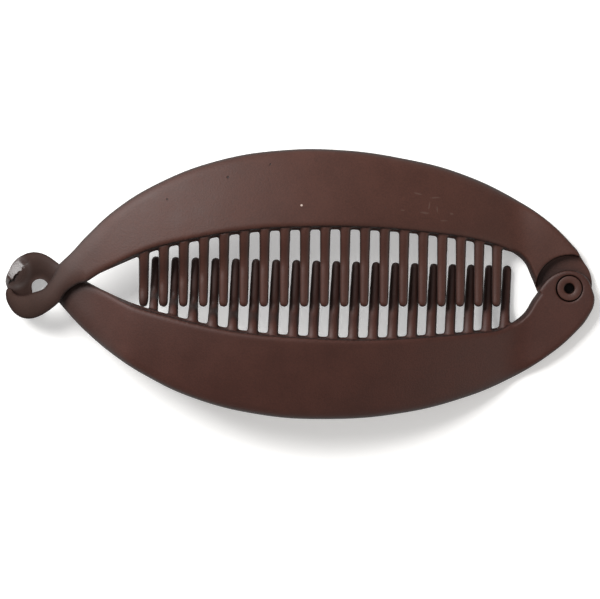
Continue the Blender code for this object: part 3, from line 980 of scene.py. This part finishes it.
class CLIP_OT_upper_arm(Operator):
    """Models the arm whose lug lies behind and whose tail passes in front."""

    bl_idname = "banana_clip.upper_arm"
    bl_label = "Upper Arm"

    def execute(self, context):
        sizes = context.scene.clip_sizes
        inner = set_back(UPPER_INNER, -1.0, sizes.upper_rail / MM)
        outline = UPPER_OUTER + UPPER_LUG + inner + UPPER_TAIL
        plate = slab("upper_plate", face, upper_back)
        block = prism("upper_outline", outline, SHARP_UPPER)
        walls = walls_of(block)
        combine(plate, block, "INTERSECT")
        combine(plate, cylinder("upper_step", LUG, STEP_CUT_TOP, STEP_RADIUS), "DIFFERENCE")
        combine(plate, cylinder("upper_bore", CUT_LOW, BORE_CUT_TOP, SHANK_HOLE), "DIFFERENCE")
        combine(plate, cylinder("upper_seat", CUT_LOW, SEAT_SINK, SEAT_RADIUS), "DIFFERENCE")
        strip = rail("upper_rail", UPPER_INNER, -1.0, face)
        teeth = comb("upper_tooth", UPPER_INNER, TOOTH_FIRST_UPPER, UPPER_LEAN, UPPER_TIPS, LAYER_STEP)
        arm = fuse("upper_arm_moulding", [plate, strip, *teeth], sizes.grain)
        roll_edges(arm.data, walls, face, upper_back)
        soften(arm)
        ripple(arm.data)
        thin_out(arm, sizes.most_triangles)
        plastic = soft_touch_plastic("soft_touch_abs_upper", context.scene.clip_colours.upper, marked=True)
        dress(arm, plastic, "upper", "upper_arm")
        return {"FINISHED"}


class CLIP_OT_lower_arm(Operator):
    """Models the arm whose lug lies in front and whose scooped tail passes behind."""

    bl_idname = "banana_clip.lower_arm"
    bl_label = "Lower Arm"

    def execute(self, context):
        sizes = context.scene.clip_sizes
        inner = set_back(LOWER_INNER, 1.0, sizes.lower_rail / MM)
        outline = inner + LOWER_LUG + LOWER_OUTER + LOWER_TAIL
        plate = slab("lower_plate", lower_face, lower_back)
        block = prism("lower_outline", outline, SHARP_LOWER)
        walls = walls_of(block)
        combine(plate, block, "INTERSECT")
        combine(plate, cylinder("lower_step", CUT_LOW, LUG + LUG_GAP, RECESS_RADIUS), "DIFFERENCE")
        combine(plate, cylinder("lower_bore", CUT_LOW, BORE_CUT_TOP, SHANK_HOLE), "DIFFERENCE")
        seat = cylinder("lower_seat", LUG_TOP - SEAT_SINK, SEAT_CUT_TOP, SEAT_RADIUS)
        combine(plate, seat, "DIFFERENCE")
        strip = rail("lower_rail", LOWER_INNER, 1.0, lower_face)
        teeth = comb("lower_tooth", LOWER_INNER, TOOTH_FIRST_LOWER, LOWER_LEAN, LOWER_TIPS, 0.0)
        arm = fuse("lower_arm_moulding", [plate, strip, *teeth], sizes.grain)
        roll_edges(arm.data, walls, lower_face, lower_back)
        hollow_scoop(arm.data, sizes.scoop)
        soften(arm)
        ripple(arm.data)
        refine_curl(arm.data)
        jagged_lip(arm.data, sizes.lip)
        thin_out(arm, sizes.most_triangles)
        plastic = soft_touch_plastic("soft_touch_abs_lower", context.scene.clip_colours.lower, polished=True)
        dress(arm, plastic, "lower", "lower_arm")
        return {"FINISHED"}


def put_in_order(work):
    """Sorts points and faces by their places, because a spin lists them in another order on each run."""
    places = {vert: tuple(vert.co) for vert in work.verts}
    places.update({side: tuple(side.calc_center_median()) for side in work.faces})
    for items in (work.verts, work.faces):
        ranks = {item: rank for rank, item in enumerate(sorted(items, key=places.get))}
        items.sort(key=ranks.get)


class CLIP_OT_hinge_pin(Operator):
    """Turns the hollow rivet that joins the two lugs."""

    bl_idname = "banana_clip.hinge_pin"
    bl_label = "Hinge Pin"

    def execute(self, context):
        head_top, head_low = LUG_TOP + 0.12, LUG_TOP - SEAT_SINK + 0.3
        foot_top, foot_low = SEAT_SINK - 0.3, 0.05
        shank, head, bore = SHANK_RADIUS, HEAD_RADIUS, BORE_RADIUS
        profile = [
            (0.0, 0.7), (bore - 0.12, 0.7), (bore, 0.82), (bore, head_top - 0.40),
            (bore + 0.12, head_top - 0.15), (bore + 0.34, head_top), (head - 0.20, head_top),
            (head - 0.06, head_top - 0.05), (head, head_top - 0.18),
            (head, head_low + 0.1), (head - 0.1, head_low), (shank, head_low), (shank, foot_top),
            (head - 0.1, foot_top), (head, foot_top - 0.1), (head, foot_low + 0.15), (head - 0.15, foot_low),
            (0.0, foot_low),
        ]
        work = bmesh.new()
        ring = [work.verts.new(Vector((PIN_X + r, PIN_Y, z)) * MM) for r, z in profile]
        edges = [work.edges.new(pair) for pair in zip(ring, ring[1:])]
        bmesh.ops.spin(
            work, geom=ring + edges, cent=Vector((PIN_X, PIN_Y, 0.0)) * MM, axis=(0.0, 0.0, 1.0),
            angle=math.tau, steps=96, use_merge=True,
        )
        bmesh.ops.remove_doubles(work, verts=work.verts, dist=1e-6)
        bmesh.ops.recalc_face_normals(work, faces=work.faces)
        # The head sits a little off centre, so its seat shows widest at the lower left.
        for vert in work.verts:
            away = math.hypot(vert.co.x / MM - PIN_X, vert.co.y / MM - PIN_Y)
            if vert.co.z > HEAD_ABOVE * MM and away > HEAD_OUTSIDE:
                vert.co += Vector(HEAD_SHIFT) * MM
        put_in_order(work)
        mesh = bpy.data.meshes.new("hinge_pin_rivet")
        work.to_mesh(mesh)
        work.free()
        pin = put("hinge_pin_rivet", mesh)
        # Moulded acetal with a matt surface, which looks like the arms but has neither the tail's wear nor
        # its painted shade.
        plastic = soft_touch_plastic("moulded_acetal_pin", context.scene.clip_colours.pin, shaded_worn=False)
        dress(pin, plastic, "lower", "hinge_pin")
        return {"FINISHED"}


def area_light(name, place, size, power, colour):
    """A square soft light at a place, aimed at the clip."""
    data = bpy.data.lights.new(name, "AREA")
    data.size = size
    data.energy = power
    data.color = colour
    lamp = bpy.data.objects.new(name, data)
    lamp.location = place
    lamp.rotation_euler = (-Vector(place)).to_track_quat("-Z", "Y").to_euler()
    collection("stage").objects.link(lamp)


class CLIP_OT_stage(Operator):
    """Sets the white table, the lights and the camera that looks straight down."""

    bl_idname = "banana_clip.stage"
    bl_label = "Stage"

    def execute(self, context):
        scene = context.scene
        stage = scene.clip_stage
        work = bmesh.new()
        bmesh.ops.create_grid(work, x_segments=1, y_segments=1, size=3.0)
        mesh = bpy.data.meshes.new("table")
        work.to_mesh(mesh)
        work.free()
        table = bpy.data.objects.new("table", mesh)
        collection("stage").objects.link(table)
        # Opal acrylic, extruded and matt, lit from below: an even white without a gloss.
        acrylic = bpy.data.materials.new("opal_acrylic_table")
        acrylic.use_nodes = True
        shader = acrylic.node_tree.nodes["Principled BSDF"]
        shader.inputs["Base Color"].default_value = hex_colour(scene.clip_colours.floor)
        shader.inputs["Roughness"].default_value = 0.9
        shader.inputs["Specular IOR Level"].default_value = 0.1
        shader.inputs["Emission Color"].default_value = (1.0, 1.0, 1.0, 1.0)
        shader.inputs["Emission Strength"].default_value = stage.table_glow
        table.data.materials.append(acrylic)

        area_light("key_light", (-0.56, 0.54, 0.78), stage.key_size, stage.key_power, (1.0, 1.0, 1.0))
        area_light("fill_light", (0.90, -0.30, 0.32), 0.60, stage.fill_power, (1.0, 0.91, 0.84))
        area_light("rim_light", (-1.10, 0.78, 0.26), 0.35, stage.rim_power, (0.97, 0.98, 1.0))
        world = bpy.data.worlds.new("studio")
        world.use_nodes = True
        sky = world.node_tree.nodes["Background"]
        sky.inputs["Color"].default_value = (1.0, 1.0, 1.0, 1.0)
        sky.inputs["Strength"].default_value = stage.ambient
        scene.world = world
        scene.view_settings.view_transform = "Standard"

        # The camera is as far up as shows the photograph's width at the height of the clip's face.
        pixel = PIXEL * MM
        width = PHOTO_WIDTH * pixel
        lens = bpy.data.cameras.new("camera")
        lens.lens = stage.lens
        lens.sensor_width = SENSOR
        camera = bpy.data.objects.new("camera", lens)
        away = width * stage.lens / SENSOR
        camera.location = (0.0, -CLIP_ABOVE * pixel, away + FACE_LEVEL * MM)
        lens.clip_end = 20.0
        collection("stage").objects.link(camera)
        scene.camera = camera
        return {"FINISHED"}


class CLIP_PT_panel(Panel):
    """Lists the clip's pieces, its sizes, colours and stage."""

    bl_label = "Banana Hair Clip"
    bl_idname = "CLIP_PT_panel"
    bl_space_type = "VIEW_3D"
    bl_region_type = "UI"
    bl_category = "Clip"

    def draw(self, context):
        layout = self.layout
        for group in (context.scene.clip_sizes, context.scene.clip_colours, context.scene.clip_stage):
            box = layout.box()
            for name in group.bl_rna.properties.keys():
                if name not in ("rna_type", "name"):
                    box.prop(group, name)
        for operator in OPERATORS:
            layout.operator(operator.bl_idname)


GROUPS = (ClipSizes, ClipColours, StageSettings)
OPERATORS = (CLIP_OT_upper_arm, CLIP_OT_lower_arm, CLIP_OT_hinge_pin, CLIP_OT_stage)


def register():
    """Registers the classes and hangs the settings on the scene."""
    for item in (*GROUPS, *OPERATORS, CLIP_PT_panel):
        bpy.utils.register_class(item)
    bpy.types.Scene.clip_sizes = PointerProperty(type=ClipSizes)
    bpy.types.Scene.clip_colours = PointerProperty(type=ClipColours)
    bpy.types.Scene.clip_stage = PointerProperty(type=StageSettings)


def unregister():
    """Takes the settings and classes away again."""
    del bpy.types.Scene.clip_stage
    del bpy.types.Scene.clip_colours
    del bpy.types.Scene.clip_sizes
    for item in reversed((*GROUPS, *OPERATORS, CLIP_PT_panel)):
        bpy.utils.unregister_class(item)


def main():
    """Builds every piece in order."""
    register()
    bpy.ops.banana_clip.upper_arm()
    bpy.ops.banana_clip.lower_arm()
    bpy.ops.banana_clip.hinge_pin()
    bpy.ops.banana_clip.stage()


if __name__ == "__main__":
    main()
